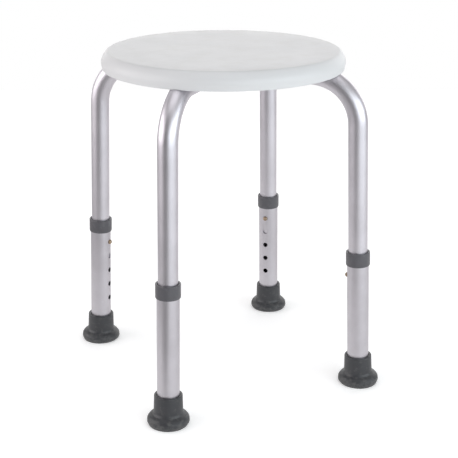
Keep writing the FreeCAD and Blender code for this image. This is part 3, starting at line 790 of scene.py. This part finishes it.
def collar(corner):
    middle = collar_high - 3.5
    outline = [
        (leg_reach + 0.05, collar_low, 0.25),
        (collar_reach - 0.35, collar_low, 0.3),
        (collar_reach, collar_low + 1.6, 1.2),
        (collar_reach, collar_high, 0.9),
        (collar_bore + 1.7, collar_high, 0.45),
        (collar_bore, collar_high - 2.2, 0.2),
        (collar_bore, middle, 0),
        (leg_reach + 0.05, middle, 0),
    ]
    return turned(f"collar_{corner}", rounded(outline), legs[corner], COLLAR_STEPS)


def foot(corner):
    _, top, _, _ = along_leg(f"foot_{corner}", corner)
    outline = [
        (0, -1.2, 0),
        (9.5, -1.2, 0),
        (10.5, 0.9, 0.4),
        (12.5, 0.9, 0.4),
        (13.5, -1.2, 0.3),
        (17.5, -1.2, 0.3),
        (18.5, 0.9, 0.4),
        (20.5, 0.9, 0.4),
        (21.5, -1.2, 0.3),
        (25.3, -1.2, 1.0),
        (27.5, 3.8, 2.2),
        (27.1, 8.2, 2.6),
        (24.5, 11.6, 3.4),
        (20.6, 13.4, 2.4),
        (19.0, 16.5, 3.5),
        (18.3, top, 1.3),
        (leg_reach + 0.9, top, 0.5),
        (leg_reach + 0.05, top - 1.4, 0.3),
        (leg_reach + 0.05, leg_low - 1.5, 0),
        (0, leg_low - 1.5, 0),
    ]
    made = turned(f"foot_{corner}", rounded(outline), legs[corner], COLLAR_STEPS)
    # the leg leans, so the tread is set level with the floor
    for vertex in made.data.vertices:
        vertex.co.z = max(vertex.co.z, 0)
    return made


collars = {corner: collar(corner) for corner in CORNERS}
feet = {corner: foot(corner) for corner in CORNERS}
print(f"collar radius {collar_reach:.2f} mm, {collar_high - collar_low:.1f} mm high")

# %% [markdown]
# ## Snap buttons
# A brass pin with a softly domed end, riveted to the spring strip inside the tube. It is turned
# about its own axis, which is the direction in which it presses. It looks at the middle of the
# stool, so its outline runs from the rivet behind the strip to the dome.

# %% Snap buttons
NECK_RADIUS = 1.5
RIVET_RADIUS = 2.5
STRIP_BACK = 9.54
STRIP = 0.8
RIVET = 0.8


def snap_button(corner):
    proud = button_tip
    outline = [
        (0, -proud, 0),
        (button_radius * 0.55, -proud + 0.25, 1.5),
        (button_radius, -proud + 1.9, 1.3),
        (button_radius, -STRIP_BACK - STRIP, 0.2),
        (NECK_RADIUS, -STRIP_BACK - STRIP, 0),
        (NECK_RADIUS, -STRIP_BACK, 0),
        (RIVET_RADIUS, -STRIP_BACK, 0.1),
        (RIVET_RADIUS, -STRIP_BACK + RIVET, 0.4),
        (0, -STRIP_BACK + RIVET, 0),
    ]
    return turned(f"snap_button_{corner}", rounded(outline), from_leg(corner, button_at, 0), 48)


buttons = {corner: snap_button(corner) for corner in CORNERS}

# %% [markdown]
# ## Finishes
# Each finish is a Principled shader whose colour, roughness and bump come from noise at the
# scale that the real material shows: moulded grain of a fraction of a millimetre, drawing lines
# in the metal, dust low on the rubber. The patterns read Object coordinates, which stay with a
# piece because every piece keeps its object at the origin. The tubes read their own maps.


# %% The finish class
class Finish(Graph):
    """A material with one Principled shader. Constants go on the shader's own sockets."""

    def __init__(self, name):
        self.material = bpy.data.materials.new(name)
        self.material.use_nodes = True
        super().__init__(self.material.node_tree)
        self.tree.nodes.clear()
        self.place = self.add("ShaderNodeTexCoord", take="Object")

    def noise(self, scale, detail=3.0, roughness=0.5, where=None):
        sockets = {"Vector": where or self.place, "Scale": scale, "Detail": detail}
        sockets["Roughness"] = roughness
        return self.add("ShaderNodeTexNoise", {"noise_dimensions": "3D"}, sockets)

    def stretched(self, vector, stretch):
        return self.add("ShaderNodeVectorMath", {"operation": "MULTIPLY"}, {0: vector, 1: stretch})

    def bump(self, height, depth, before=None):
        """A bump whose depth is in metres."""
        sockets = {"Height": height, "Strength": 1.0, "Distance": depth}
        if before is not None:
            sockets["Normal"] = before
        return self.add("ShaderNodeBump", {}, sockets)

    def finish(self, **sockets):
        named = {name.replace("_", " "): value for name, value in sockets.items()}
        shader = self.add("ShaderNodeBsdfPrincipled", {}, named)
        self.add("ShaderNodeOutputMaterial", {}, {"Surface": shader})
        return self.material


# %% [markdown]
# ### White moulded plastic
# A bath stool's seat is blown or injected polyethylene. Its skin has a fine pebble that keeps it
# from being slippery, and it picks up faint smudges. The pebble is a bump from a cell pattern
# softened by noise, and it fades on upright faces, where the real mould is polished.

# %% Seat finish
white = Finish("white_polyethylene")
normal = white.add("ShaderNodeNewGeometry", take="Normal")
facing = white.add("ShaderNodeSeparateXYZ", {}, {0: normal}, take=2)
upward = white.remap(facing, 0.35, 0.95)
pebble = white.add(
    "ShaderNodeTexVoronoi",
    {"feature": "SMOOTH_F1"},
    {"Vector": white.place, "Scale": 620.0, "Smoothness": 0.6},
)
grain = white.noise(2600, 2)
cloud = white.noise(16, 4, 0.6)
smudge = white.remap(white.noise(38, 5, 0.62), 0.42, 0.72)
fine_rub = white.noise(95, 6, 0.7, white.stretched(white.place, (1.0, 0.12, 1.0)))
rub = white.remap(fine_rub, 0.56, 0.74)
skin_bump = white.bump(pebble * upward + grain * 0.35, 0.00006)
top = white.mix(white.remap(cloud, 0.3, 0.7), (0.585, 0.588, 0.598), (0.62, 0.622, 0.63))
# The upright rim takes its own tone, set to how bright the lit rim looks rather than to the
# plastic: this is painted light. The top's tone varies at random with the cloud.
seat_tone_with_painted_rim = white.mix(upward, (0.60, 0.603, 0.613), top)
seat_finish = white.finish(
    Base_Color=white.mix(smudge * upward * 0.35, seat_tone_with_painted_rim, (0.575, 0.57, 0.56)),
    Roughness=0.40 + white.noise(210, 3) * 0.08 + smudge * 0.05 - rub * 0.05,
    Normal=skin_bump,
    IOR=1.51,
)

# %% [markdown]
# ### Satin aluminium
# Drawn tube is marked by fine lines along its length, and anodising leaves a silky, slightly
# bluish grey. The lines come from noise on a long thin grid: fast round the tube, slow along it.
# The two maps that the tube tree stored give that grid, so the lines follow the bends.

# %% Tube finish
def drawn_metal(name, shade, roughness, scuffs):
    metal = Finish(name)
    round_map = metal.add("ShaderNodeUVMap", {"uv_map": "round_tube"})
    along_map = metal.add("ShaderNodeUVMap", {"uv_map": "along_tube"})
    first = metal.add("ShaderNodeSeparateXYZ", {}, {0: round_map})
    second = metal.more(first, "Y")
    along = metal.add("ShaderNodeSeparateXYZ", {}, {0: along_map})
    grid = metal.add("ShaderNodeCombineXYZ", {}, {0: first, 1: second, 2: along * 4})
    lines = metal.noise(58, 4, 0.62, grid)
    hair = metal.noise(190, 2, 0.5, grid)
    rubbed = metal.add("ShaderNodeCombineXYZ", {}, {0: first, 1: second, 2: along * 90})
    scuff = metal.remap(metal.noise(2.1, 6, 0.68, rubbed), 0.57, 0.7)
    bloom = metal.remap(metal.noise(30, 3, 0.55), 0.3, 0.7)
    grey = Vector((0.99, 0.955, 1.02)) * shade
    clean = metal.mix(bloom, tuple(grey * 0.96), tuple(grey * 1.04))
    return metal.finish(
        Base_Color=metal.mix(scuff * scuffs, clean, tuple(grey * 1.15)),
        Metallic=1.0,
        Roughness=roughness + (lines - 0.5) * 0.16 + scuff * 0.05,
        Normal=metal.bump(lines * 0.7 + hair * 0.3, 0.000018),
    )


tube_finish = drawn_metal("satin_aluminium", 0.645, 0.42, 0.25)
# The lower legs take a darker copy of the same metal. The darker grey is painted shade, set to how
# dim they look under this light, and their stronger scuffs are wear.
leg_finish = drawn_metal("worn_aluminium", 0.585, 0.40, 0.4)

# %% [markdown]
# ### Nylon and rubber
# The collar is smooth dark grey nylon with a soft sheen. The foot is a little darker and matt,
# and its rubber has a fine sandy skin. Both lighten where hands and floors rub them, and the
# rubber carries pale dust near the floor, which is why its colour depends on the height.

# %% Collar and foot finishes
nylon = Finish("grey_nylon")
wear = nylon.remap(nylon.noise(120, 5, 0.65), 0.5, 0.72)
nylon_base = nylon.mix(nylon.noise(45, 4), (0.070, 0.068, 0.076), (0.088, 0.086, 0.096))
collar_finish = nylon.finish(
    Base_Color=nylon.mix(wear * 0.3, nylon_base, (0.15, 0.15, 0.16)),
    Roughness=0.26 + nylon.noise(300, 3) * 0.12,
    Normal=nylon.bump(nylon.noise(1500, 3, 0.6), 0.00003),
)

rubber = Finish("grey_rubber")
height = rubber.add("ShaderNodeSeparateXYZ", {}, {0: rubber.place}, take=2)
low_down = 1 - rubber.remap(height, 0.0, 0.022)
dust = rubber.remap(rubber.noise(160, 6, 0.68) + low_down * 0.16, 0.52, 0.78)
mottle = rubber.noise(55, 4, 0.6)
rubber_base = rubber.mix(mottle, (0.025, 0.026, 0.030), (0.037, 0.038, 0.043))
speck = rubber.add("ShaderNodeTexVoronoi", {}, {"Vector": rubber.place, "Scale": 900.0})
foot_finish = rubber.finish(
    Base_Color=rubber.mix(dust * 0.4, rubber_base, (0.14, 0.136, 0.13)),
    Roughness=0.38 + dust * 0.25 + mottle * 0.08,
    Normal=rubber.bump(rubber.noise(1100, 4, 0.65) + speck * 0.3, 0.00006),
)

# %% [markdown]
# ### Brass and steel
# Small turned parts show fine rings or wire marks and a dulled skin. They cover little area, so
# each needs only two scales of noise: a broad one that tarnishes the colour and a fine one that
# breaks up the shine.


# %% Small metal finishes
def small_metal(name, clean, dull, roughness, scale):
    metal = Finish(name)
    tarnish = metal.remap(metal.noise(scale, 5, 0.62), 0.38, 0.66)
    fine = metal.noise(2400, 3, 0.6)
    return metal.finish(
        Base_Color=metal.mix(tarnish, clean, dull),
        Metallic=1.0,
        Roughness=roughness + tarnish * 0.14 + fine * 0.08,
        Normal=metal.bump(fine, 0.00002),
    )


button_finish = small_metal("dull_brass", (0.42, 0.31, 0.21), (0.27, 0.21, 0.16), 0.34, 420)
insert_finish = small_metal("turned_brass", (0.70, 0.52, 0.27), (0.52, 0.39, 0.22), 0.28, 300)
spring_finish = small_metal("spring_steel", (0.50, 0.50, 0.51), (0.38, 0.38, 0.40), 0.30, 260)
screw_finish = small_metal("stainless_steel", (0.62, 0.62, 0.63), (0.52, 0.52, 0.54), 0.26, 350)

# %% [markdown]
# ## Putting the finishes on
# Each piece now gets its finish, rides on the body that moves it, and names the CAD nodes that it
# stands for. The screws, washers, nut, inserts and springs of the CAD part are already the right
# shape, so they stay as they are and only take a finish.

# %% Dress the pieces
dress(seat, "frame", seat_finish, "seat_plastic", "seat")
for node, tube in bent_tubes.items():
    tube.name = f"{node}_drawn"
    dress(tube, "frame", tube_finish, "tube_aluminium", node)
for corner in CORNERS:
    leg = f"leg_{corner}"
    dress(leg_tubes[corner], leg, leg_finish, "tube_aluminium", f"leg_tube_{corner}")
    true_round(leg_tubes[corner], legs[corner])
    dress(collars[corner], leg, collar_finish, "collar_plastic", f"leg_collar_{corner}")
    dress(feet[corner], leg, foot_finish, "foot_rubber", f"foot_{corner}")
    button = f"snap_button_{corner}"
    dress(buttons[corner], f"button_{corner}", button_finish, "button_brass", button)

KEPT_NODES = {
    "seat_screws": screw_finish,
    "seat_washers": screw_finish,
    "seat_inserts": insert_finish,
    "crossing_bolt": screw_finish,
    "crossing_washers": screw_finish,
    "crossing_nut": screw_finish,
}
for corner in CORNERS:
    KEPT_NODES[f"foot_washer_{corner}"] = screw_finish
    KEPT_NODES[f"snap_spring_{corner}"] = spring_finish
for node, finish in KEPT_NODES.items():
    for slot in frame["nodes"][node].material_slots:
        slot.material = finish
print(f"{len(KEPT_NODES)} CAD nodes keep their shape")

# %% [markdown]
# ## Floor and light
# The stool stands on a white floor that glows a little, as a lit table does. What the tubes
# mirror is another matter: in the photo it is a white board with the dark studio floor round it
# and a dark room behind the camera, and that draws the dark band down the middle of each tube.
# So the floor is hidden from reflections, which see the board and the studio floor under it.
# The white floor ends in front of the light panels, because behind them it would be grey. From
# its edge on, the camera sees the white background.

# %% Floor
FLOOR_HALF = 1.8
STUDIO_HALF = 9.0
# corners in metres, towards the camera and to its right
BOARD = [
    (0.34, -0.42),
    (-4.6, -1.5),
    (-4.6, 1.7),
    (0.9, 1.7),
    (1.5, 0.16),
    (0.34, -0.12),
]
SCREEN = [(1.55, -1.5), (1.55, -0.22), (1.6, -0.22), (1.6, -1.5)]


def square(half):
    return [(-half, -half), (-half, half), (half, half), (half, -half)]


def slab(name, outline, low, high, shades, **more):
    """A flat sheet on the camera's bearing, from one height to another, in metres."""
    turn = Matrix.Rotation(math.radians(CAMERA_BEARING), 4, "Z")
    spots = [(turn @ Vector((*spot, 0))).xy for spot in outline]
    count = len(spots)
    points = [(*spot, height) for height in (low, high) for spot in spots]
    sides = [(n, (n + 1) % count, count + (n + 1) % count, count + n) for n in range(count)]
    faces = [tuple(range(count)), tuple(range(count, 2 * count)), *sides]
    made = piece_from(name, points, faces)
    finish = Finish(name)
    patches = finish.mix(finish.noise(3, 4), *shades)
    made.data.materials.append(
        finish.finish(Base_Color=patches, Roughness=0.75, Specular_IOR_Level=0.2, **more)
    )
    return made


WHITE = ((0.92, 0.92, 0.92), (0.935, 0.935, 0.935))
GREY = ((0.52, 0.52, 0.52), (0.56, 0.56, 0.56))
BLACK = ((0.02, 0.02, 0.02), (0.03, 0.03, 0.03))
glow = {"Emission_Color": (1.0, 1.0, 1.0), "Emission_Strength": 0.25}
seen = slab("floor", square(FLOOR_HALF), -0.01, 0, WHITE, **glow)
seen.visible_glossy = False
mirrored = [
    slab("board", BOARD, -0.03, -0.011, WHITE, **glow),
    slab("studio_floor", square(STUDIO_HALF), -0.1, -0.031, GREY),
    slab("black_screen", SCREEN, 0, 2.3, BLACK),
]
for piece in mirrored:
    piece.visible_camera = False
    piece.visible_diffuse = False
    piece.visible_shadow = False


# %% Lights
def soft_box(name, bearing, distance, height, size, power, tint=(1, 1, 1)):
    """An area light on a bearing that is measured from the camera's, to the right."""
    data = bpy.data.lights.new(name, "AREA")
    data.shape = "RECTANGLE"
    data.size, data.size_y = size
    data.energy = power
    data.color = tint
    lamp = bpy.data.objects.new(name, data)
    bpy.context.scene.collection.objects.link(lamp)
    angle = math.radians(CAMERA_BEARING + bearing)
    lamp.location = (distance * math.cos(angle), distance * math.sin(angle), height)
    lamp.visible_camera = False
    aim = Vector((0, 0, 0.25)) - lamp.location
    lamp.rotation_euler = aim.to_track_quat("-Z", "Y").to_euler()
    return lamp


soft_box("key", 50, 2.6, 0.8, (4.2, 1.4), 50, (0.88, 0.965, 1.0))
soft_box("left_panel", -82, 2.6, 0.9, (3.4, 1.6), 40, (1.0, 0.965, 0.975))
soft_box("back_panel", 170, 3.2, 1.1, (6.0, 2.0), 56)
soft_box("overhead", 0, 0.3, 2.7, (2.4, 2.4), 17, (0.97, 0.98, 1.0))

world = bpy.data.worlds.new("studio")
bpy.context.scene.world = world
world.use_nodes = True
sky = Graph(world.node_tree)
sky.tree.nodes.clear()
room = sky.add("ShaderNodeBackground", {}, {"Color": (1.0, 0.985, 0.975), "Strength": 0.46})
paper = sky.add("ShaderNodeBackground", {}, {"Color": (1.0, 1.0, 1.0), "Strength": 1.0})
direct = sky.add("ShaderNodeLightPath", take="Is Camera Ray")
shown = sky.add("ShaderNodeMixShader", {}, {0: direct, 1: room, 2: paper})
sky.add("ShaderNodeOutputWorld", {}, {"Surface": shown})
bpy.context.scene.view_settings.view_transform = "Standard"
